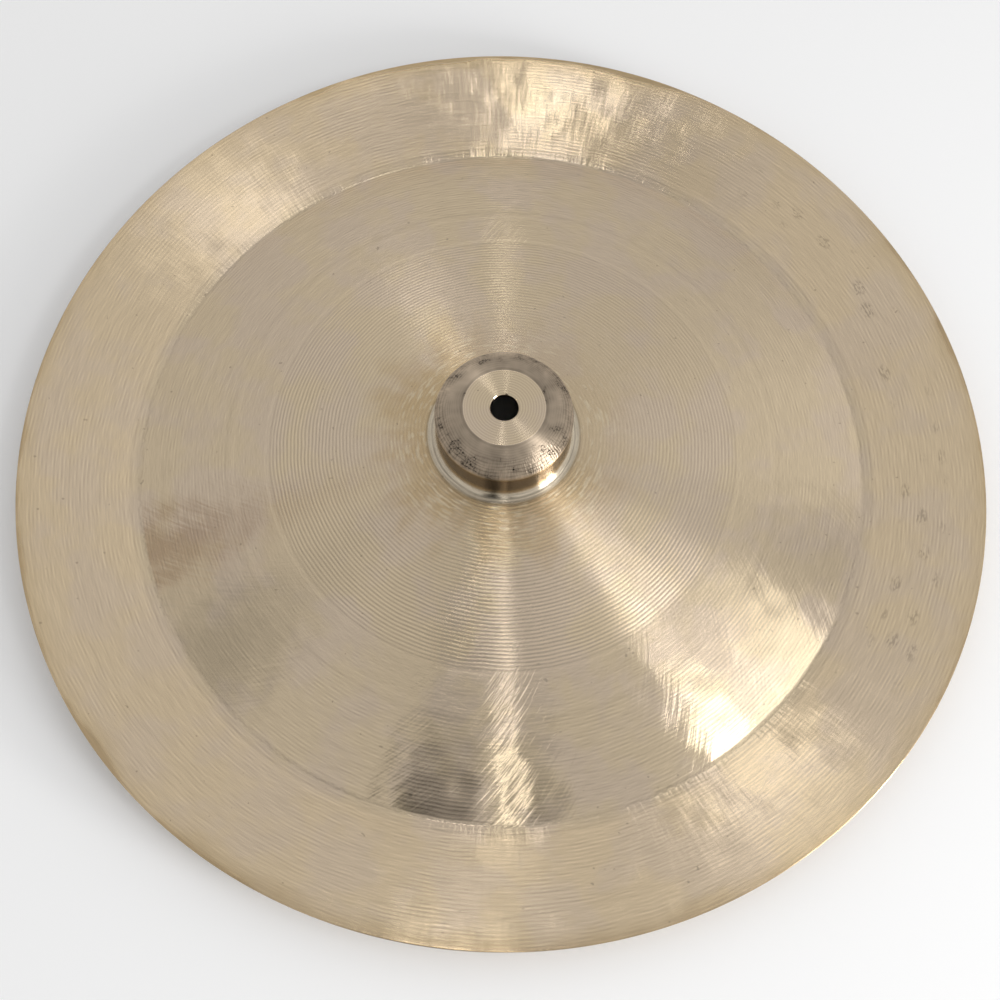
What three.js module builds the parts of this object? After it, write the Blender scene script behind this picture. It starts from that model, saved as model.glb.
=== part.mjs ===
// A china cymbal, 18 inches across, as one plate of hammered and lathed bronze: a cup-shaped bell with an
// undercut neck, a domed bow, a crease, and a flange that turns up to the rim. It lies bell up on its crease.
// Millimetres, +Z up. The origin is on the axis of the stand hole, level with what the crease stands on.
import * as THREE from 'three';

// Plate, seen from the side of the bell
const PLATE_DIAMETER = 457.2;
const FLANGE_WIDTH = 53.1;
const FLANGE_LIFT = 15.8;
const FLANGE_CROWN = 0.9;
const CREASE_ROUND = 11;
const BOW_HEIGHT = 28.6;
const BOW_CROWN = 4.2;

// Bell
const BELL_HEIGHT = 27.5;
const BELL_DIAMETER = 63.2;
const NECK_UNDERCUT = 0.8;
const FOOT_ROUND = 3.8;
const SHOULDER_DROP = 7.4;
const SHOULDER_CROWN = 1.2;
const SHOULDER_ROUND = 2;
const DISC_DIAMETER = 37.2;
const HOLE_DIAMETER = 12.7;
const HOLE_CHAMFER = 0.4;

// Wall, which is thickest round the hole and thins out to the rim
const HOLE_WALL = 1.5;
const FOOT_WALL = 1.2;
const CREASE_WALL = 0.9;
const RIM_WALL = 0.7;

// Flat ring that use has worn under the crease, where the plate stands
const REST_WIDTH = 2.4;

// Rings that the lathe leaves where it changes its cut: round the disc, and on the bow at shares of the way
// from the bell to the crease
const RING_WIDTH = 0.9;
const RING_DEPTH = 0.25;
const BOW_RING_SHARES = [0.56, 0.69];

// Hammer blows, in rows round the bow and the flange. Their depths lie between a share and the whole of
// the deepest, and those on each row start where the golden angle puts them.
const BLOW_WIDTH = 30;
const BLOW_DEPTH = 0.35;
const BLOW_SPACING = 25;
const ROW_SPACING = 19;
const LIGHTEST_BLOW_SHARE = 0.3;
const GOLDEN_SHARE = (Math.sqrt(5) - 1) / 2;

// Waves of the rim, which no hand-hammered plate is without
const RIM_WAVE = 0.5;
const RIM_WAVES = 3;

// How finely the plate is faceted
const FACETS_ROUND = 72;
const FACE_STEPS = { shoulder: 4, round: 4, bow: 15, flange: 7 };
const BACK_STEPS = { shoulder: 2, round: 2, bow: 10, flange: 5 };
const RIM_STEPS = 3;

const BRONZE = new THREE.MeshStandardMaterial({ color: 0xbcae8e, metalness: 1, roughness: 0.34 });

const point = (radius, height) => new THREE.Vector2(radius, height);

// The side that a way through the section has on its right: out of the metal on the back, into it on the face.
const rightOf = way => point(way.y, -way.x).normalize();

// Corners of the playing face from the hole to the rim, before they are rounded. Each holds the wall there,
// the radius that rounds it, and the crown and name of the stretch that leads to it.
function faceCorners() {
  const creaseRadius = PLATE_DIAMETER / 2 - FLANGE_WIDTH;
  const bellRadius = BELL_DIAMETER / 2;
  const bellTop = BOW_HEIGHT + BELL_HEIGHT;
  const flangeSlope = Math.atan2(FLANGE_LIFT, FLANGE_WIDTH);
  const rimReach = (RIM_WALL / 2) * (1 + Math.sin(flangeSlope));
  return [
    { at: point(HOLE_DIAMETER / 2, bellTop), wall: HOLE_WALL },
    { at: point(DISC_DIAMETER / 2, bellTop), wall: HOLE_WALL },
    {
      at: point(bellRadius, bellTop - SHOULDER_DROP),
      wall: FOOT_WALL,
      stretch: 'shoulder',
      crown: SHOULDER_CROWN,
      round: SHOULDER_ROUND,
    },
    { at: point(bellRadius - NECK_UNDERCUT, BOW_HEIGHT), wall: FOOT_WALL, round: FOOT_ROUND },
    { at: point(creaseRadius, 0), wall: CREASE_WALL, stretch: 'bow', crown: BOW_CROWN, round: CREASE_ROUND },
    {
      at: point(PLATE_DIAMETER / 2 - rimReach, FLANGE_LIFT),
      wall: RIM_WALL,
      stretch: 'flange',
      crown: FLANGE_CROWN,
    },
  ];
}

// The same corners moved through the wall to the back, where the rounds that bulge towards it grow by the
// wall and the others shrink.
function backCorners() {
  const corners = faceCorners();
  return corners.map((corner, i) => {
    const before = corners[Math.max(i - 1, 0)].at;
    const after = corners[Math.min(i + 1, corners.length - 1)].at;
    const arriving = i > 0 ? rightOf(corner.at.clone().sub(before)) : rightOf(after.clone().sub(corner.at));
    const leaving = i < corners.length - 1 ? rightOf(after.clone().sub(corner.at)) : arriving;
    const middle = arriving.clone().add(leaving).normalize();
    const at = corner.at.clone().addScaledVector(middle, corner.wall / middle.dot(arriving));
    const opens = Math.sign(arriving.cross(leaving));
    return { ...corner, at, round: Math.max((corner.round ?? 0) + opens * corner.wall, 0) };
  });
}

// The inner points of the way from one corner to the next, which bulges by its crown out of the face.
// A ring is a shallow groove in it, at a share of the way.
function stretchPoints(from, to, crown, steps, ringShares = []) {
  const way = to.clone().sub(from);
  const inward = rightOf(way);
  const halfRing = RING_WIDTH / 2 / way.length();
  const clear = share => ringShares.every(ring => Math.abs(share - ring) > 2 * halfRing);
  const plain = Array.from({ length: steps - 1 }, (_, i) => (i + 1) / steps).filter(clear);
  const cuts = plain.map(share => ({ share, cut: 0 }));
  for (const ring of ringShares) {
    cuts.push({ share: ring - halfRing, cut: 0 }, { share: ring, cut: RING_DEPTH });
    cuts.push({ share: ring + halfRing, cut: 0 });
  }
  cuts.sort((a, b) => a.share - b.share);
  return cuts.map(({ share, cut }) => {
    const bulge = 4 * crown * share * (1 - share);
    return from.clone().addScaledVector(way, share).addScaledVector(inward, cut - bulge);
  });
}

// The arc that rounds a corner, as its centre and the two arms from there to where the arc starts and ends.
function roundArms(before, corner, after, radius) {
  const back = before.clone().sub(corner).normalize();
  const on = after.clone().sub(corner).normalize();
  const half = Math.acos(THREE.MathUtils.clamp(back.dot(on), -1, 1)) / 2;
  const middle = back.clone().add(on).normalize();
  const centre = corner.clone().addScaledVector(middle, radius / Math.sin(half));
  const start = corner.clone().addScaledVector(back, radius / Math.tan(half)).sub(centre);
  const end = corner.clone().addScaledVector(on, radius / Math.tan(half)).sub(centre);
  return { centre, start, end };
}

function roundPoints(before, corner, after, radius, steps) {
  if (radius === 0) return [corner];
  const { centre, start, end } = roundArms(before, corner, after, radius);
  const turn = Math.atan2(start.cross(end), start.dot(end));
  return Array.from({ length: steps + 1 }, (_, i) => {
    return start.clone().rotateAround(point(0, 0), (turn * i) / steps).add(centre);
  });
}

// The round under the crease, worn to a level ring at its lowest place.
function restPoints(before, corner, after, radius) {
  const { centre, start, end } = roundArms(before, corner, after, radius);
  const level = centre.y - radius;
  return [
    start.add(centre),
    point(centre.x - REST_WIDTH / 2, level),
    point(centre.x + REST_WIDTH / 2, level),
    end.add(centre),
  ];
}

// The whole line through a list of corners, with its stretches crowned and its corners rounded.
function sectionLine(corners, steps, rings, rests) {
  const stretches = corners.slice(1).map((corner, i) => {
    const from = corners[i].at;
    const shares = rings && corner.stretch === 'bow' ? BOW_RING_SHARES : [];
    return stretchPoints(from, corner.at, corner.crown ?? 0, steps[corner.stretch] ?? 1, shares);
  });
  return corners.flatMap((corner, i) => {
    if (i === 0) return [corner.at];
    const way = stretches[i - 1];
    if (i === corners.length - 1) return [...way, corner.at];
    const before = way.at(-1) ?? corners[i - 1].at;
    const after = stretches[i][0] ?? corners[i + 1].at;
    const round = rests && corner.stretch === 'bow' ? restPoints : roundPoints;
    return [...way, ...round(before, corner.at, after, corner.round ?? 0, steps.round)];
  });
}

// The hole's chamfered edge, and the ring that the lathe leaves round the disc.
function holeEdge(line) {
  const [hole, disc, ...rest] = line;
  return [
    point(hole.x, hole.y - HOLE_CHAMFER),
    point(hole.x + HOLE_CHAMFER, hole.y),
    point(disc.x - RING_WIDTH, disc.y),
    point(disc.x - RING_WIDTH / 2, disc.y - RING_DEPTH),
    disc,
    ...rest,
  ];
}

// The rounded rim, from the back to the face, without its two ends.
function rimPoints(backEnd, faceEnd) {
  const centre = backEnd.clone().add(faceEnd).divideScalar(2);
  const arm = backEnd.clone().sub(centre);
  return Array.from({ length: RIM_STEPS - 1 }, (_, i) => {
    const turn = (Math.PI * (i + 1)) / RIM_STEPS;
    return arm.clone().rotateAround(point(0, 0), turn).add(centre);
  });
}

// The closed section of the plate, out along the back and in along the face, with its lowest point at zero.
function plateSection() {
  const face = holeEdge(sectionLine(faceCorners(), FACE_STEPS, true, false));
  const back = sectionLine(backCorners(), BACK_STEPS, false, true);
  const loop = [...back, ...rimPoints(back.at(-1), face.at(-1)), ...face.reverse()];
  const ground = Math.min(...loop.map(p => p.y));
  const section = loop.map(p => point(p.x, p.y - ground));
  return [...section, section[0].clone()];
}

// Hammer blows on a band between two radii, row by row.
function blowsBetween(inner, outer) {
  const rows = Math.max(1, Math.round((outer - inner) / ROW_SPACING));
  const blows = [];
  for (let row = 0; row < rows; row++) {
    const radius = inner + ((outer - inner) * (row + 0.5)) / rows;
    const count = Math.max(3, Math.round((2 * Math.PI * radius) / BLOW_SPACING));
    for (let i = 0; i < count; i++) {
      const strength = ((blows.length + 1) * GOLDEN_SHARE) % 1;
      const angle = (2 * Math.PI * (i + row * GOLDEN_SHARE)) / count;
      const depth = BLOW_DEPTH * THREE.MathUtils.lerp(LIGHTEST_BLOW_SHARE, 1, strength);
      blows.push({ at: new THREE.Vector2(radius, 0).rotateAround(point(0, 0), angle), depth });
    }
  }
  return blows;
}

// How far the blows and the waves of the rim move the plate down or up at a place. The bell and the ring
// that the plate stands on keep their shape.
function hammering() {
  const rim = PLATE_DIAMETER / 2;
  const crease = rim - FLANGE_WIDTH;
  const foot = BELL_DIAMETER / 2 + FOOT_ROUND;
  const blows = [...blowsBetween(foot, crease), ...blowsBetween(crease, rim)];
  const reach = BLOW_WIDTH / 2;
  return place => {
    const radius = place.length();
    const offBell = THREE.MathUtils.smoothstep(radius, foot, foot + reach);
    const offCrease = THREE.MathUtils.smoothstep(Math.abs(radius - crease), CREASE_ROUND / 2, reach);
    const outward = THREE.MathUtils.smoothstep(radius, crease + CREASE_ROUND, rim);
    const dent = blows.reduce((sum, { at, depth }) => {
      const near = Math.min(place.distanceTo(at) / reach, 1);
      return sum + depth * (1 - near ** 2) ** 2;
    }, 0);
    return RIM_WAVE * outward * Math.sin(RIM_WAVES * place.angle()) - dent * offBell * offCrease;
  };
}

function cymbalGeometry() {
  const geometry = new THREE.LatheGeometry(plateSection(), FACETS_ROUND).rotateX(Math.PI / 2);
  const lift = hammering();
  const position = geometry.getAttribute('position');
  for (let i = 0; i < position.count; i++) {
    const place = new THREE.Vector2(position.getX(i), position.getY(i));
    position.setZ(i, position.getZ(i) + lift(place));
  }
  geometry.computeVertexNormals();
  return geometry;
}

const cymbal = new THREE.Mesh(cymbalGeometry(), BRONZE);
cymbal.name = 'cymbal';

const chinaCymbal = new THREE.Group();
chinaCymbal.add(cymbal);

export default chinaCymbal;
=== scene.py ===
import math

import bpy
import numpy as np
from mathutils import Matrix, Vector


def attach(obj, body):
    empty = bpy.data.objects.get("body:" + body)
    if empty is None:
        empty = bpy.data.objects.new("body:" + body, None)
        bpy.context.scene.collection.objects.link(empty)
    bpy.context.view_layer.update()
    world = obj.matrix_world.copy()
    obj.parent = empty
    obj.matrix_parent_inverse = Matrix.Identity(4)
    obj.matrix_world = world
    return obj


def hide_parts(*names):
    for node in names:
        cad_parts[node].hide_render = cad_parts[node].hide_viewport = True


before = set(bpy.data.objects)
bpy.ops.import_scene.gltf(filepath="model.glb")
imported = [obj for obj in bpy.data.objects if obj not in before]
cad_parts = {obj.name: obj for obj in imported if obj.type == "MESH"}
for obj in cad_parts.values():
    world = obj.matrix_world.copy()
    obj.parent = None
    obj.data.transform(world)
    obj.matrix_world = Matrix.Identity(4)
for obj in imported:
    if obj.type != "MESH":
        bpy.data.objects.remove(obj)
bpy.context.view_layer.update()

# A china cymbal of hammered and lathed bronze, bell up on its crease. Metres, +Z up, the origin under the
# stand hole, level with what the crease stands on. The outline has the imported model's sizes, but a sharper
# crease and a fuller shoulder.

PLATE_DIAMETER = 0.4572
FLANGE_WIDTH = 0.0531
FLANGE_LIFT = 0.0158
FLANGE_CROWN = 0.0009
CREASE_ROUND = 0.003
BOW_HEIGHT = 0.0286
BOW_CROWN = 0.0042

BELL_HEIGHT = 0.0275
BELL_DIAMETER = 0.0632
NECK_UNDERCUT = 0.0008
FOOT_ROUND = 0.0038
SHOULDER_DROP = 0.0074
SHOULDER_CROWN = 0.0018
SHOULDER_ROUND = 0.003
DISC_DIAMETER = 0.0372
HOLE_DIAMETER = 0.0127
HOLE_CHAMFER = 0.0004

HOLE_WALL = 0.0015
FOOT_WALL = 0.0012
CREASE_WALL = 0.0009
RIM_WALL = 0.0007

# Lathe cuts on the bow's inner part, where they are plain to see: their pitch and depth, and where they end
GROOVE_PITCH = 0.00168
GROOVE_DEPTH = 0.00005
INNER_BOW = 0.1125

# Hammer blows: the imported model's broad ones, far shallower here, and the small ones that show in the
# highlights, with their depths on the inner bow, on the outer bow and on the flange
BLOW_WIDTH = 0.030
BLOW_DEPTH = 0.00006
BLOW_SPACING = 0.025
ROW_SPACING = 0.019
SMALL_BLOW_WIDTH = 0.016
SMALL_BLOW_SPACING = 0.010
INNER_BLOW_DEPTH = 0.00003
BOW_BLOW_DEPTH = 0.00011
FLANGE_BLOW_DEPTH = 0.00005
OUTER_BOW = 0.13
CREASE_SIDE = 0.01
LIGHTEST_BLOW_SHARE = 0.3
GOLDEN_SHARE = (math.sqrt(5) - 1) / 2
BLOW_SEED = 7

# The rim is neither quite level nor quite round
RIM_WAVE = 0.0005
RIM_LOBE = 0.0006
RIM_WAVES = 3

# How finely the mesh follows the plate: the section's points before they are spaced, spacing of the rings,
# the most that the metal may turn between two rings in radians, and points round the rim's bead
SECTION_STEP = 0.0001
BELL_STEP = 0.0006
OUTER_STEP = 0.0014
BACK_STEP = 0.005
FACE_TURN = 0.2
BACK_TURN = 0.25
LEAST_BEND = 1e-6
BEAD_POINTS = 6

# Segments round the plate, within the inner bow and outside it, and how its rings are joined and shaded
INNER_SEGMENTS = 176
OUTER_SEGMENTS = 352
MERGE_DISTANCE = 1e-6
RING_TOLERANCE = 1e-5
SMOOTH_ANGLE = math.radians(30)

# Camera, as the photograph was taken, measured from the middle of the rim
RIM_HEIGHT = 0.0163
CAMERA_DISTANCE = 0.6
CAMERA_ELEVATION = math.radians(66.14)
CAMERA_DIP = math.radians(2.55)
CAMERA_TURN = math.radians(0.05)
CAMERA_ROLL = math.radians(2.04)
SENSOR_WIDTH = 36
LENS = 45.33


def add_camera():
    data = bpy.data.cameras.new("camera")
    data.sensor_width = SENSOR_WIDTH
    data.lens = LENS
    camera = bpy.data.objects.new("camera", data)
    bpy.context.scene.collection.objects.link(camera)
    rim_centre = Vector((0, 0, RIM_HEIGHT))
    away = Vector((0, -math.cos(CAMERA_ELEVATION), math.sin(CAMERA_ELEVATION)))
    camera.location = rim_centre + away * CAMERA_DISTANCE
    look = (-away).to_track_quat("-Z", "Y").to_matrix()
    aim = look @ Matrix.Rotation(-CAMERA_DIP, 3, "X") @ Matrix.Rotation(CAMERA_TURN, 3, "Y")
    camera.rotation_euler = (aim @ Matrix.Rotation(CAMERA_ROLL, 3, "Z")).to_euler()
    bpy.context.scene.camera = camera


add_camera()


# Section of the plate, as lines of radius and height


def crowned(start, end, crown, step):
    """Points from start to end along a shallow arc that bulges by its crown to the left of the way."""
    start, end = np.array(start), np.array(end)
    way = end - start
    length = np.hypot(*way)
    left = np.array([-way[1], way[0]]) / length
    share = np.linspace(0, 1, max(2, round(length / step) + 1))[:, None]
    return start + way * share + left * (4 * crown * share * (1 - share))


def rounded(before, corner, after, radius, step):
    """Points along the arc that rounds a corner between two neighbours."""
    back = (before - corner) / np.hypot(*(before - corner))
    on = (after - corner) / np.hypot(*(after - corner))
    half = math.acos(np.clip(back @ on, -1, 1)) / 2
    middle = (back + on) / np.hypot(*(back + on))
    centre = corner + middle * radius / math.sin(half)
    first = corner + back * radius / math.tan(half) - centre
    last = corner + on * radius / math.tan(half) - centre
    turn = math.atan2(first[0] * last[1] - first[1] * last[0], first @ last)
    angle = np.linspace(0, turn, max(3, round(abs(turn) * radius / step) + 1))
    cos, sin = np.cos(angle), np.sin(angle)
    return centre + np.stack([first[0] * cos - first[1] * sin, first[0] * sin + first[1] * cos], axis=1)


def smooth_line(step):
    """The playing face from the hole to the rim before it is lathed, with its corners rounded."""
    crease = PLATE_DIAMETER / 2 - FLANGE_WIDTH
    bell = BELL_DIAMETER / 2
    top = BOW_HEIGHT + BELL_HEIGHT
    slope = math.atan2(FLANGE_LIFT, FLANGE_WIDTH)
    rim = PLATE_DIAMETER / 2 - RIM_WALL / 2 * (1 + math.sin(slope))
    disc = (DISC_DIAMETER / 2, top)
    shoulder = (bell, top - SHOULDER_DROP)
    neck = (bell - NECK_UNDERCUT, BOW_HEIGHT)
    line = crowned((HOLE_DIAMETER / 2, top), disc, 0, step)
    stretches = [
        (disc, shoulder, SHOULDER_CROWN, 0),
        (shoulder, neck, 0, SHOULDER_ROUND),
        (neck, (crease, 0), BOW_CROWN, FOOT_ROUND),
        ((crease, 0), (rim, FLANGE_LIFT), FLANGE_CROWN, CREASE_ROUND),
    ]
    for start, end, crown, radius in stretches:
        stretch = crowned(start, end, crown, step)
        if radius == 0:
            line = np.concatenate([line, stretch[1:]])
            continue
        corner = stretch[0]
        arc = rounded(line[-2], corner, stretch[1], radius, step)
        reach = np.hypot(*(arc[0] - corner))
        line = line[np.hypot(*(line - corner).T) > reach]
        stretch = stretch[np.hypot(*(stretch - corner).T) > reach]
        line = np.concatenate([line, arc, stretch])
    return line


def along(line):
    """Length along a line at each of its points."""
    return np.concatenate([[0], np.cumsum(np.hypot(*np.diff(line, axis=0).T))])


def normals(line):
    """The side of a line on its left at each point, which is out of the metal on the playing face."""
    way = np.gradient(line, axis=0)
    way /= np.hypot(*way.T)[:, None]
    return np.stack([-way[:, 1], way[:, 0]], axis=1)


def resampled(line, places):
    length = along(line)
    return np.stack([np.interp(places, length, column) for column in line.T], axis=1)


def wall(radius):
    crease = PLATE_DIAMETER / 2 - FLANGE_WIDTH
    places = [HOLE_DIAMETER / 2, BELL_DIAMETER / 2, crease, PLATE_DIAMETER / 2]
    return np.interp(radius, places, [HOLE_WALL, FOOT_WALL, CREASE_WALL, RIM_WALL])


def spaced(line, step):
    """Places along a line, as far apart as the step given for each point of it."""
    length = along(line)
    density = 1 / step
    count = np.concatenate([[0], np.cumsum((density[1:] + density[:-1]) / 2 * np.diff(length))])
    return np.interp(np.linspace(0, count[-1], round(count[-1]) + 1), count, length)


def scallops(radius, pitch, depth):
    """How deep the lathe cut at a radius: a row of shallow hollows with a ridge between each two."""
    across = (radius / pitch) % 1
    return depth * (1 - (2 * across - 1) ** 2)


def plate_section():
    """The closed section of the plate: out along the back, over the rim and in along the face."""
    fine = smooth_line(SECTION_STEP)
    radius = fine[:, 0]
    foot = BELL_DIAMETER / 2 + FOOT_ROUND
    bend = np.abs(np.gradient(np.unwrap(np.arctan2(*normals(fine).T)), along(fine)))

    step = np.where(radius > foot, GROOVE_PITCH / 4, BELL_STEP)
    step = np.where(radius > INNER_BOW, OUTER_STEP, step)
    face = resampled(fine, spaced(fine, np.minimum(step, FACE_TURN / np.maximum(bend, LEAST_BEND))))
    inner = (face[:, 0] > foot) & (face[:, 0] < INNER_BOW)
    cut = np.where(inner, scallops(face[:, 0], GROOVE_PITCH, GROOVE_DEPTH), 0)
    face = face - normals(face) * cut[:, None]

    back = fine - normals(fine) * wall(radius)[:, None]
    back_step = np.minimum(BACK_STEP, BACK_TURN / np.maximum(bend, LEAST_BEND))
    back = resampled(back, spaced(back, back_step))
    back[0, 0] = HOLE_DIAMETER / 2

    rim = (face[-1] + back[-1]) / 2
    arm = back[-1] - rim
    turn = np.linspace(0, math.pi, BEAD_POINTS + 2)[1:-1, None]
    bead = rim + arm * np.cos(turn) + np.array([-arm[1], arm[0]]) * np.sin(turn)

    top = face[0, 1]
    face = face[face[:, 0] > HOLE_DIAMETER / 2 + HOLE_CHAMFER]
    edge = np.array([[HOLE_DIAMETER / 2, top - HOLE_CHAMFER], [HOLE_DIAMETER / 2 + HOLE_CHAMFER, top]])
    loop = np.concatenate([back, bead, face[::-1], edge[::-1]])
    loop[:, 1] -= loop[:, 1].min()
    return loop


# Mesh of the plate


def only(obj):
    """Makes one object the selected and active one."""
    bpy.ops.object.select_all(action="DESELECT")
    obj.select_set(True)
    bpy.context.view_layer.objects.active = obj


def drawn(points):
    """A new object with one line of edges through points of radius and height, drawn by extruding."""
    bpy.ops.object.select_all(action="DESELECT")
    first = points[0]
    bpy.ops.mesh.primitive_plane_add(location=(0, 0, 0))
    obj = bpy.context.object
    bpy.ops.object.mode_set(mode="EDIT")
    bpy.ops.mesh.merge(type="CENTER")
    bpy.ops.transform.translate(value=(first[0], 0, first[1]))
    for step in np.diff(points, axis=0):
        bpy.ops.mesh.extrude_region_move(TRANSFORM_OT_translate={"value": (step[0], 0, step[1])})
    bpy.ops.object.mode_set(mode="OBJECT")
    return obj


def spun(points, segments):
    """The surface of a line of points turned all the way round the stand hole's axis."""
    obj = drawn(points)
    bpy.ops.object.mode_set(mode="EDIT")
    bpy.ops.mesh.select_all(action="SELECT")
    bpy.ops.mesh.spin(steps=segments, angle=2 * math.pi, center=(0, 0, 0), axis=(0, 0, 1))
    bpy.ops.mesh.select_all(action="SELECT")
    bpy.ops.mesh.remove_doubles(threshold=MERGE_DISTANCE)
    bpy.ops.object.mode_set(mode="OBJECT")
    return obj


def coordinates(obj):
    co = np.empty(len(obj.data.vertices) * 3)
    obj.data.vertices.foreach_get("co", co)
    return co.reshape(-1, 3)


def bridge(obj, rings):
    """Joins the rings of vertices that lie at the given radii and heights."""
    co = coordinates(obj)
    radius = np.hypot(co[:, 0], co[:, 1])
    chosen = np.zeros(len(co), bool)
    for ring in rings:
        chosen |= np.hypot(radius - ring[0], co[:, 2] - ring[1]) < RING_TOLERANCE
    bpy.ops.object.mode_set(mode="EDIT")
    bpy.ops.mesh.select_mode(type="VERT")
    bpy.ops.mesh.select_all(action="DESELECT")
    bpy.ops.object.mode_set(mode="OBJECT")
    obj.data.vertices.foreach_set("select", chosen)
    bpy.ops.object.mode_set(mode="EDIT")
    bpy.ops.mesh.select_mode(type="EDGE")
    bpy.ops.mesh.bridge_edge_loops()
    bpy.ops.object.mode_set(mode="OBJECT")


def smoothstep(value, low, high):
    share = np.clip((value - low) / (high - low), 0, 1)
    return share * share * (3 - 2 * share)


def blow_rows(inner, outer, row_spacing, spacing):
    """Centres of blows in rings, each turned a little from the last, and each blow's share of strength."""
    rows = max(1, round((outer - inner) / row_spacing))
    blows = []
    for row in range(rows):
        radius = inner + (outer - inner) * (row + 0.5) / rows
        count = max(3, round(2 * math.pi * radius / spacing))
        for i in range(count):
            strength = ((len(blows) + 1) * GOLDEN_SHARE) % 1
            angle = 2 * math.pi * (i + row * GOLDEN_SHARE) / count
            share = LIGHTEST_BLOW_SHARE + (1 - LIGHTEST_BLOW_SHARE) * strength
            blows.append((radius * math.cos(angle), radius * math.sin(angle), share))
    return blows


def dents(co, blows, width):
    """How far blows of one depth move each point down, as a share of that depth."""
    reach = width / 2
    order = np.argsort(co[:, 0])
    across = co[order, 0]
    down = np.zeros(len(co))
    for x, y, share in blows:
        first, last = np.searchsorted(across, (x - reach, x + reach))
        near = order[first:last]
        far = np.hypot(co[near, 0] - x, co[near, 1] - y) / reach
        down[near] += share * (1 - np.minimum(far, 1) ** 2) ** 2
    return down


def hammer(obj):
    """Dents the plate with the blows, face and back together, waves its rim and stands it on the floor."""
    co = coordinates(obj)
    radius = np.hypot(co[:, 0], co[:, 1])
    rim = PLATE_DIAMETER / 2
    crease = rim - FLANGE_WIDTH
    foot = BELL_DIAMETER / 2 + FOOT_ROUND
    broad = np.zeros(len(co))
    for inner, outer in ((foot, crease), (crease, rim)):
        broad += dents(co, blow_rows(inner, outer, ROW_SPACING, BLOW_SPACING), BLOW_WIDTH)
    small_rows = blow_rows(foot, rim, SMALL_BLOW_SPACING, SMALL_BLOW_SPACING)
    chance = np.random.default_rng(BLOW_SEED)
    shift = chance.normal(0, SMALL_BLOW_SPACING / 3, (len(small_rows), 2))
    small_rows = [(x + dx, y + dy, share) for (x, y, share), (dx, dy) in zip(small_rows, shift)]
    small = dents(co, small_rows, SMALL_BLOW_WIDTH)
    places = [INNER_BOW, OUTER_BOW, crease - CREASE_SIDE, crease + CREASE_SIDE]
    depths = [INNER_BLOW_DEPTH, BOW_BLOW_DEPTH, BOW_BLOW_DEPTH, FLANGE_BLOW_DEPTH]
    small *= np.interp(radius, places, depths)
    off_bell = smoothstep(radius, foot, foot + BLOW_WIDTH / 2)
    off_crease = smoothstep(np.abs(radius - crease), 2 * CREASE_ROUND, BLOW_WIDTH / 2)
    wave = -np.sin(RIM_WAVES * np.arctan2(co[:, 1], co[:, 0]))
    wave *= smoothstep(radius, crease + CREASE_ROUND, rim)
    co[:, 2] += RIM_WAVE * wave - BLOW_DEPTH * broad * off_bell * off_crease - small * off_bell
    co[:, :2] *= 1 + RIM_LOBE / rim * wave[:, None]
    co[:, 2] -= co[:, 2].min()
    obj.data.vertices.foreach_set("co", co.ravel())
    obj.data.update()


def add_plate():
    """The plate: the bell with the bow's inner part, and the rest with more segments, spun and joined."""
    section = plate_section()
    out = np.flatnonzero(section[:, 0] >= INNER_BOW)
    outer = section[out[0] : out[-1] + 1]
    inner = np.concatenate([section[out[-1] + 1 :], section[: out[0]]])
    plate = spun(outer, OUTER_SEGMENTS)
    plate.name = plate.data.name = "hammered_plate"
    bell = spun(inner, INNER_SEGMENTS)
    only(plate)
    bell.select_set(True)
    bpy.ops.object.join()
    bridge(plate, [outer[0], inner[-1]])
    bridge(plate, [outer[-1], inner[0]])
    bpy.ops.object.mode_set(mode="EDIT")
    bpy.ops.mesh.select_all(action="SELECT")
    bpy.ops.mesh.normals_make_consistent(inside=False)
    bpy.ops.object.mode_set(mode="OBJECT")
    hammer(plate)
    only(plate)
    bpy.ops.object.shade_smooth_by_angle(angle=SMOOTH_ANGLE)
    return plate


# Shader nodes


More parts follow.
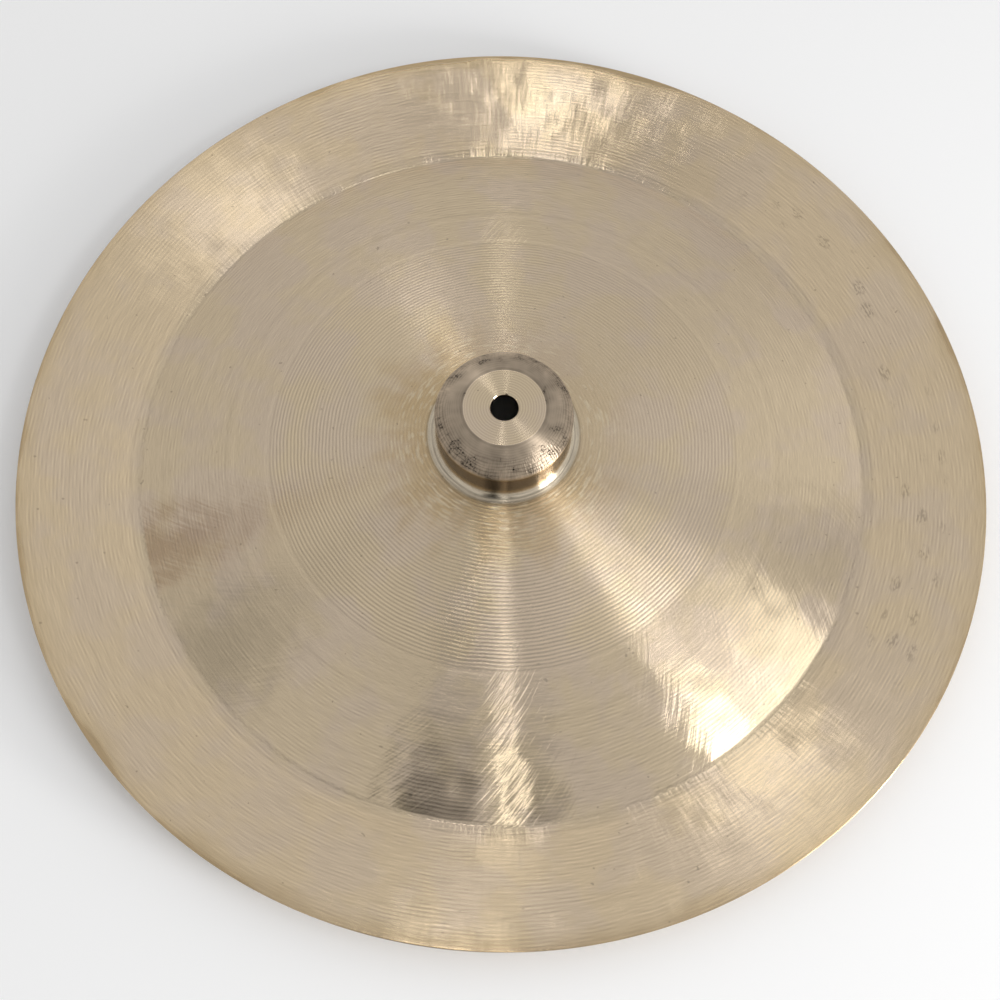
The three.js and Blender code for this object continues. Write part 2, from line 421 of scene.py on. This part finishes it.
class Shade:
    """A socket in a node tree. Arithmetic on it adds Math nodes, and node() adds any other node."""

    def __init__(self, tree, socket=None):
        self.tree = tree
        self.socket = socket

    def node(self, kind, settings=None, inputs=None, output=0):
        made = self.tree.nodes.new(kind)
        for name, value in (settings or {}).items():
            setattr(made, name, value)
        for name, value in (inputs or {}).items():
            if isinstance(value, Shade):
                self.tree.links.new(value.socket, made.inputs[name])
            else:
                made.inputs[name].default_value = value
        return Shade(self.tree, made.outputs[output]) if made.outputs else None

    def math(self, operation, *others):
        return self.node("ShaderNodeMath", {"operation": operation}, dict(enumerate((self, *others))))

    def __add__(self, other):
        return self.math("ADD", other)

    __radd__ = __add__

    def __sub__(self, other):
        return self.math("SUBTRACT", other)

    def __rsub__(self, other):
        return self.node("ShaderNodeMath", {"operation": "SUBTRACT"}, {0: other, 1: self})

    def __mul__(self, other):
        return self.math("MULTIPLY", other)

    __rmul__ = __mul__

    def __truediv__(self, other):
        return self.math("DIVIDE", other)

    def vector(self, x, y, z):
        return self.node("ShaderNodeCombineXYZ", inputs={0: x, 1: y, 2: z})

    def parts(self):
        """The three parts of a vector."""
        first = self.node("ShaderNodeSeparateXYZ", inputs={0: self})
        return [Shade(self.tree, part) for part in first.socket.node.outputs]

    def length(self):
        return self.node("ShaderNodeVectorMath", {"operation": "LENGTH"}, {0: self}, output="Value")

    def times(self, factor):
        """A colour or vector times a number."""
        return self.node("ShaderNodeVectorMath", {"operation": "SCALE"}, {0: self, "Scale": factor})

    def mix(self, low, high):
        """The colour low where this is 0, and high where it is 1."""
        low, high = ((*c, 1) if isinstance(c, tuple) else c for c in (low, high))
        return self.node("ShaderNodeMix", {"data_type": "RGBA"}, {0: self, 6: low, 7: high}, output=2)

    def step(self, low, high):
        """0 below low and 1 above high, with a smooth rise between them."""
        settings = {"interpolation_type": "SMOOTHSTEP"}
        return self.node("ShaderNodeMapRange", settings, {"Value": self, "From Min": low, "From Max": high})

    def near(self, middle, half, soft):
        """1 up to half to each side of a middle value, and 0 past a soft edge."""
        return 1 - (self - middle).math("ABSOLUTE").step(half, half + soft)

    def noise(self, size=1, detail=2):
        """Noise from 0 to 1 with spots of about the given size."""
        return self.node("ShaderNodeTexNoise", inputs={"Vector": self, "Scale": 1 / size, "Detail": detail})


# Bronze. Its places are in millimetres: how far out from the stand hole's axis, and how high

MILLIMETRES = 1000

# Where each zone begins and ends, from its first trace to all of it
INNER_EDGE = (107, 113)
OUTER_EDGE = (130, 134)
FLANGE_EDGE = (176, 182)
RIM_EDGE = (218, 232)
BEAD_EDGE = (226.5, 229.5)
DISC_EDGE = (18.3, 18.8)
LOW_SHOULDER = (22, 30)
SHOULDER_BOTTOM = (46, 49)
NECK_TOP = (44.5, 49)
NECK_BOTTOM = (30.5, 36)
FOOT_TOP = (31, 32.5)
FOOT_EDGE = (35.2, 35.8)
STAIN_AND_SHADE_EDGE = (38, 72)
SPECKLE_EDGE = (44, 66)
STRONG_GROOVES = (45, 90)

BOW_WARM = (0.655, 0.532, 0.368)
BOW_GREY = (0.640, 0.522, 0.392)
FLANGE_WARM = (0.715, 0.572, 0.388)
FLANGE_GREY = (0.692, 0.560, 0.408)
RIM_GOLD = (0.645, 0.500, 0.305)
BEAD_BROWN = (0.480, 0.345, 0.190)
# Painted shade on the rim's side near the camera
NEAR_RIM_SHADE = (0.400, 0.290, 0.165)
# A warm stain by the bell, darkened on its left and near side as painted shade
BELL_STAIN_AND_SHADE = (0.545, 0.400, 0.220)
PALE_SPECKLE = (0.760, 0.650, 0.470)
SHOULDER_GREY = (0.500, 0.405, 0.305)
# Painted shade, with some tarnish, for the neck under the bell's shoulder
NECK_SHADE_AND_TARNISH = (0.215, 0.155, 0.092)
FOOT_PALE = (0.600, 0.520, 0.400)

# Pitches of the lathe's lines: the grooves, the finer lines among them, and the rings of disc and shoulder
GROOVES = GROOVE_PITCH * MILLIMETRES
LINES = 1.1
FINE_LINES = 0.5
DISC_RINGS = 1.22
SHOULDER_RINGS = 1.1

# The lathe's tool rides over the hammered metal, so its lines wander in and out by this much
TOOL_WANDER = 1.3

# Rings that stand out: middle, half width, soft edge and how much lighter or darker they are
BOW_RINGS = (
    (112.4, 0.5, 0.6, 0.05),
    (110.3, 0.3, 0.5, -0.05),
    (128.6, 0.4, 0.6, 0.04),
    (132.2, 0.6, 0.8, -0.04),
    (172.5, 1.0, 1.2, 0.02),
    (179.6, 0.2, 0.7, -0.05),
    (181.2, 0.5, 1.0, 0.03),
)
DISC_RIM_RINGS = ((18.5, 0.25, 0.3, 0.14), (19.3, 0.3, 0.5, -0.16))
FOOT_RING = (33.4, 0.15, 0.3)
FOOT_RIM = (35.9, 0.2, 0.35)
# A jagged dark line of painted shade along the crease, and how far it wanders
CREASE_SHADE_LINE = (175.2, 0.2, 0.7)
CREASE_SHADE_WANDER = 3.2

# Sizes of the patches, spots and pits on the metal
WANDER_SIZE = 16
CLOUD_SIZE = 30
PATCH_SIZE = 22
WORN_SIZE = 7
PIT_SIZE = 2
SPECK_SIZE = 2.2

# Marks of the hammer's edge on the flange: where their rows begin and end, outwards and in degrees round
# the plate, and how far apart they are both ways
MARKS_INNER_EDGE = (190, 194)
MARKS_OUTER_EDGE = (209, 214)
MARKS_START = (-34, -28)
MARKS_END = (46, 56)
MARK_DEGREES = 4.6
MARK_ROWS = 10

# Ripples between the blows: how many go round, how far each reaches out, the radians that they turn in each
# millimetre, and by how much they rise with each one on the inner bow
RIPPLES = 80
RIPPLE_REACH = 11
SWIRL = 0.0055
RIPPLE_RISE = 0.0028


class Surface:
    """Places, zones and patterns on the plate that its material is made of."""

    def __init__(self, shade):
        self.shade = shade
        self.place = shade.node("ShaderNodeTexCoord", output="Object").times(MILLIMETRES)
        across, away, self.up = self.place.parts()
        flat = shade.vector(across, away, 0)
        self.out = flat.length()
        self.degrees = away.math("ARCTAN2", across) * math.degrees(1)
        self.way = flat.node("ShaderNodeVectorMath", {"operation": "NORMALIZE"}, {0: flat})
        self.way_x, self.way_y, _ = self.way.parts()
        self.lathe = self.out + (self.place.noise(WANDER_SIZE, 1) - 0.5) * TOOL_WANDER
        self.patch = self.place.noise(PATCH_SIZE, 2)
        self.worn = self.place.noise(WORN_SIZE, 1)
        self.blotch = self.round_noise(5, self.out / 22, 3)
        self.streaks = self.round_noise(7, self.out / 1.4, 3)
        self.add_zones()
        self.add_lines()
        self.add_shoulder_marks()
        self.add_hammer_marks()

    def round_noise(self, turn, depth, detail=2):
        """Noise about 0 with so many changes round the plate, and so much depth along its radius."""
        return self.shade.vector(self.way_x * turn, self.way_y * turn, depth).noise(detail=detail) - 0.5

    def rings(self, rings):
        return sum(self.out.near(middle, half, soft) * tone for middle, half, soft, tone in rings)

    def add_zones(self):
        self.inner = 1 - self.lathe.step(*INNER_EDGE)
        self.outer = self.out.step(*OUTER_EDGE)
        self.flange = self.out.step(*FLANGE_EDGE)
        self.rim = (self.out + self.blotch * 16).step(*RIM_EDGE)
        self.bead = (self.out + self.blotch * 12).step(*BEAD_EDGE)
        self.on_bell = self.up.step(*SHOULDER_BOTTOM)
        self.bow = 1 - self.on_bell
        self.disc = 1 - self.out.step(*DISC_EDGE)
        self.shoulder = (1 - self.disc) * self.on_bell
        self.neck = (1 - self.up.step(*NECK_TOP)) * self.up.step(*NECK_BOTTOM)
        self.foot = (1 - self.up.step(*FOOT_TOP)) * (1 - self.out.step(*FOOT_EDGE))

    def add_lines(self):
        """The lathe's lines as waves about 0: grooves, how much each one differs, and finer lines."""
        self.groove = (self.lathe * (2 * math.pi / GROOVES)).math("SINE")
        self.each = self.round_noise(32, self.lathe / GROOVES, 0)
        self.line = self.round_noise(16, self.lathe / LINES, 1)
        self.fine_line = self.round_noise(6, self.lathe / FINE_LINES, 1)
        self.disc_ring = (self.out * (2 * math.pi / DISC_RINGS)).math("SINE")

    def add_shoulder_marks(self):
        """Pits, dark rings and scratches, of which there are more low on the bell's shoulder."""
        low = self.out.step(*LOW_SHOULDER)
        squiggle = self.place.noise(PIT_SIZE, 2).near(0.5, 0.015, 0.035)
        self.pits = squiggle * (self.worn + low * 0.12).step(0.64, 0.73)
        wavy = self.out + self.round_noise(2, self.out / 4, 1) * 2
        rings = (wavy * (2 * math.pi / SHOULDER_RINGS)).math("SINE").step(-0.1, 1.0)
        self.dark_rings = rings * (0.35 + 0.65 * low) * (self.worn + low * 0.2).step(0.35, 0.6)
        self.scratches = self.round_noise(40, self.out / 2, 0) * low

    def add_hammer_marks(self):
        """Marks of the hammer's edge, broken up by the lines that they cross."""
        spot = self.shade.vector(self.degrees / MARK_DEGREES, (self.out - MARKS_INNER_EDGE[0]) / MARK_ROWS, 0)
        settings = {"feature": "F1", "distance": "EUCLIDEAN"}
        inputs = {"Vector": spot, "Scale": 1, "Randomness": 0.55}
        far = self.shade.node("ShaderNodeTexVoronoi", settings, inputs)
        rows = self.out.step(*MARKS_INNER_EDGE) * (1 - self.out.step(*MARKS_OUTER_EDGE))
        side = self.degrees.step(*MARKS_START) * (1 - self.degrees.step(*MARKS_END))
        broken = self.round_noise(70, self.out / 0.75, 1).step(-0.03, 0.07)
        self.hammer_marks = (1 - far.step(0.20, 0.34)) * rows * side * broken


def bronze_colour(at):
    """Bronze that is paler on the flange, warmer at the rim and by the bell, and greyer on the shoulder, with
    painted shade on the neck, the near rim and the bell's left and near side.
    """
    greyer = at.place.noise(CLOUD_SIZE, 3).step(0.42, 0.6)
    colour = greyer.mix(BOW_WARM, BOW_GREY)
    colour = at.flange.mix(colour, greyer.mix(FLANGE_WARM, FLANGE_GREY))
    colour = (at.rim * 0.8).mix(colour, RIM_GOLD)
    colour = (at.bead * 0.6).mix(colour, BEAD_BROWN)
    # Painted shade: the rim is browner on its side near the camera
    near_shade_side = (at.way_y * -1).step(0.75, 0.97)
    colour = (at.rim * near_shade_side * 0.6).mix(colour, NEAR_RIM_SHADE)

    # A warm stain round the bell, with painted shade that makes it stronger on the left and near side
    shaded_side = (at.way_x * -1).math("MAXIMUM", at.way_y * -1).step(0.1, 0.7)
    stain_and_shade = (1 - (at.out + at.blotch * 50).step(*STAIN_AND_SHADE_EDGE)) * (0.7 + at.patch * 0.6)
    stain_and_shade = stain_and_shade * (0.35 + 0.65 * shaded_side)
    colour = (stain_and_shade * at.bow * 0.75).mix(colour, BELL_STAIN_AND_SHADE)
    speckle = (at.streaks + (at.patch - 0.5) * 0.4).step(0.02, 0.16) * (1 - at.out.step(*SPECKLE_EDGE))
    colour = (speckle * at.bow * 0.5).mix(colour, PALE_SPECKLE)

    colour = at.shoulder.mix(colour, SHOULDER_GREY)
    # The neck under the shoulder is darkened: painted shade, with some tarnish
    colour = at.neck.mix(colour, NECK_SHADE_AND_TARNISH)
    return at.foot.mix(colour, FOOT_PALE)


def line_tone(at):
    """How much the lathe's lines lighten or darken the colour, about 1."""
    # Plain on the inner bow, most of all near the camera and on the left, faint on the smooth ring outside
    # it, and patchy from there on
    facing = (at.way_x * 0.6 + at.way_y * 0.8).step(-0.9, 0.9)
    strength = at.inner * (0.05 + 0.10 * at.out.step(*STRONG_GROOVES)) * (1.2 - 0.65 * facing)
    strength = strength + at.outer * (at.patch.step(0.38, 0.62) * 0.045 + 0.008)
    strength = strength + (1 - at.inner) * (1 - at.outer) * 0.010
    uneven = at.each * (at.inner * 0.16 + (1 - at.inner) * 0.26)
    tone = 1 + at.groove * at.bow * (strength + uneven)
    tone = tone + at.line * (0.10 + 0.08 * at.outer) * at.bow + at.fine_line * 0.14 * at.bow
    tone = tone + at.rings(BOW_RINGS)
    # Painted shade: a jagged dark line along the crease
    jagged = at.out + at.round_noise(60, at.out / 20, 2) * CREASE_SHADE_WANDER
    tone = tone - jagged.near(*CREASE_SHADE_LINE) * (0.05 + at.patch.step(0.35, 0.6) * 0.09)
    tone = tone + at.disc * at.disc_ring * (0.06 + at.streaks * 0.04)
    return tone + at.rings(DISC_RIM_RINGS) * at.on_bell


def mark_tone(at):
    """What the marks on shoulder, foot and flange leave of the colour, and the dark specks all over."""
    marks = at.pits * 0.55 + at.dark_rings * 0.30 + (at.worn - 0.5) * 0.8 + at.scratches * 0.5
    tone = 1 - at.shoulder * marks
    foot_lines = at.foot * at.round_noise(3, at.out / 0.6, 2) * 0.6
    tone = tone * (1 - foot_lines - at.out.near(*FOOT_RIM) * at.bow * 0.3)
    tone = tone * (1 - at.out.near(*FOOT_RING) * at.foot * 0.2)
    specks = at.place.noise(SPECK_SIZE, 0).step(0.84, 0.87)
    return tone * (1 - at.hammer_marks * 0.26 - specks * 0.25)


def relief(at):
    """Heights in millimetres of what is too fine for the mesh: lines, ripples, rings and scratches."""
    lines = at.line * 0.012 + at.fine_line * 0.010 + at.groove * (0.020 * at.inner + 0.006)
    # Ripples run outwards, and turn to one side on their way to the flange
    inputs = {"Vector": at.way, "Angle": at.out.math("MINIMUM", FLANGE_EDGE[0]) * SWIRL}
    turned = at.shade.node("ShaderNodeVectorRotate", {"rotation_type": "Z_AXIS"}, inputs)
    x, y, _ = turned.parts()
    ripple = at.shade.vector(x * RIPPLES, y * RIPPLES, at.out / RIPPLE_REACH).noise(detail=1)
    loose = at.bow * (1 - at.inner * (1 - RIPPLE_RISE * at.out)) * (1 - at.flange * 0.65)
    height = lines * at.bow + (ripple * 0.045 + at.each * 0.006) * loose
    height = height + at.disc * at.disc_ring * 0.002
    return height + at.shoulder * (at.scratches * 0.12 - at.dark_rings * 0.05)


def bronze():
    material = bpy.data.materials.new("lathed_bronze")
    material.use_nodes = True
    tree = material.node_tree
    tree.nodes.clear()
    shade = Shade(tree)
    at = Surface(shade)
    bump = {"Strength": 1, "Distance": 1 / MILLIMETRES, "Height": relief(at)}
    rough = 0.18 + at.inner * at.bow * 0.05 + at.shoulder * 0.27 - at.disc * 0.03 + at.bead * 0.15
    metal = shade.node(
        "ShaderNodeBsdfPrincipled",
        inputs={
            "Base Color": bronze_colour(at).times(line_tone(at) * mark_tone(at)),
            "Metallic": 1,
            "Roughness": rough,
            "Anisotropic": 1,
            "Anisotropic Rotation": 0.25,
            "Normal": shade.node("ShaderNodeBump", inputs=bump),
        },
    )
    shade.node("ShaderNodeOutputMaterial", inputs={"Surface": metal})
    return material


# The studio. Directions are given by their parts to the right and away from the camera

FLOOR_SIDES = 96
FLOOR_RADIUS = 12
FLOOR_COLOUR = (0.95, 0.95, 0.95, 1)
FLOOR_ROUGHNESS = 0.9
LAMP_DISTANCE = 2

EVEN_LIGHT = (0.68, 0.68, 0.68)
RIGHT_LIGHT = (0.88, 0.88, 0.88)
RIGHT_EDGE = (0.25, 0.75)
BLACK = (0.01, 0.01, 0.01)

# Darker things in the studio: direction, turn in degrees, half width and half depth, where their soft edge
# starts as a share of these, colour, and how much of the light they take. Their height hardly matters.
DARK_THING_HEIGHT = 10
DARK_THINGS = (
    (-0.15, -0.68, 0, 0.15, 0.33, 0.85, (0.0, 0.0, 0.0), 1.0),
    (0.13, -0.62, 0, 0.07, 0.26, 0.60, BLACK, 0.8),
    (-0.10, 0.06, 0, 0.18, 0.12, 0.30, BLACK, 0.5),
    (0.0, 0.09, 0, 0.13, 0.12, 0.30, BLACK, 0.5),
    (-0.71, 0.15, -75, 0.13, 0.13, 0.10, (0.20, 0.10, 0.04), 1.0),
    (-0.60, -0.08, -62, 0.21, 0.11, 0.30, (0.14, 0.15, 0.15), 0.85),
    (0.71, 0.18, 80, 0.18, 0.11, 0.35, (0.13, 0.13, 0.14), 0.6),
    (0.50, 0.74, -42, 0.30, 0.10, 0.35, (0.40, 0.40, 0.44), 0.3),
)

# Soft boxes: direction, width and length as shares of their distance, and radiance
LAMPS = {
    "key_inner": (0.355, -0.04, 0.09, 0.10, 0.7),
    "key_near": (0.26, 0.10, 0.06, 0.16, 0.5),
    "key_left": (0.60, -0.38, 0.13, 0.15, 9.5),
    "key_left_low": (0.75, -0.59, 0.15, 0.32, 14),
    "key_middle": (0.66, -0.26, 0.12, 0.14, 2.5),
    "key_right": (0.645, -0.04, 0.19, 0.12, 0.9),
    "key_right_outer": (0.74, -0.14, 0.20, 0.14, 2.4),
    "key_right_low": (0.868, -0.455, 0.16, 0.26, 38),
    "strip": (0.040, -0.36, 0.010, 0.44, 3.9),
    "strip_low": (0.055, -0.66, 0.016, 0.30, 3.4),
    "strip_front": (0.015, -0.10, 0.010, 0.30, 0.9),
    "strip_left": (-0.095, -0.13, 0.012, 0.22, 0.8),
    "strip_back": (-0.010, 0.73, 0.016, 0.12, 3.5),
    "top": (-0.014, 0.18, 0.022, 0.14, 6.0),
    "left_patch": (0.135, 0.235, 0.06, 0.12, 1.25),
    "back": (-0.11, 0.575, 0.055, 0.12, 2.4),
}


def add_floor():
    bpy.ops.object.select_all(action="DESELECT")
    bpy.ops.mesh.primitive_circle_add(vertices=FLOOR_SIDES, radius=FLOOR_RADIUS, fill_type="NGON")
    floor = bpy.context.object
    floor.name = "floor"
    material = bpy.data.materials.new("pale_floor")
    material.use_nodes = True
    shader = material.node_tree.nodes["Principled BSDF"]
    shader.inputs["Base Color"].default_value = FLOOR_COLOUR
    shader.inputs["Roughness"].default_value = FLOOR_ROUGHNESS
    floor.data.materials.append(material)


def add_lamp(name, across, away, width, length, radiance):
    """A soft box whose length runs towards the direction that a level mirror would show the camera."""
    direction = Vector((across, away, math.sqrt(1 - across**2 - away**2)))
    mirrored = Vector((0, math.cos(CAMERA_ELEVATION), math.sin(CAMERA_ELEVATION)))
    side = direction.cross(direction - mirrored).normalized()
    data = bpy.data.lights.new(name, "AREA")
    data.shape = "RECTANGLE"
    data.size = width * LAMP_DISTANCE
    data.size_y = length * LAMP_DISTANCE
    data.energy = radiance * math.pi * data.size * data.size_y
    lamp = bpy.data.objects.new(name, data)
    bpy.context.scene.collection.objects.link(lamp)
    turn = Matrix((side, direction.cross(side), direction)).transposed().to_4x4()
    lamp.matrix_world = Matrix.Translation(direction * LAMP_DISTANCE) @ turn


def add_world():
    """Even light from all round, brighter on the right, with the studio's darker things in it."""
    world = bpy.data.worlds.new("studio")
    bpy.context.scene.world = world
    world.use_nodes = True
    tree = world.node_tree
    direction = Shade(tree).node("ShaderNodeTexCoord")
    right, _, _ = direction.parts()
    light = right.step(*RIGHT_EDGE).mix(EVEN_LIGHT, RIGHT_LIGHT)
    for across, away, turn, wide, deep, edge, tint, share in DARK_THINGS:
        inputs = {
            "Vector": direction,
            "Location": (across, away, 0),
            "Rotation": (0, 0, math.radians(turn)),
            "Scale": (wide, deep, DARK_THING_HEIGHT),
        }
        moved = direction.node("ShaderNodeMapping", {"vector_type": "TEXTURE"}, inputs)
        light = ((1 - moved.length().step(edge, 1.0)) * share).mix(light, tint)
    tree.links.new(light.socket, tree.nodes["Background"].inputs["Color"])


plate = add_plate()
plate.data.materials.append(bronze())
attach(plate, "root")
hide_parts("cymbal")

add_floor()
add_world()
for name, values in LAMPS.items():
    add_lamp(name, *values)
bpy.context.scene.view_settings.view_transform = "Standard"
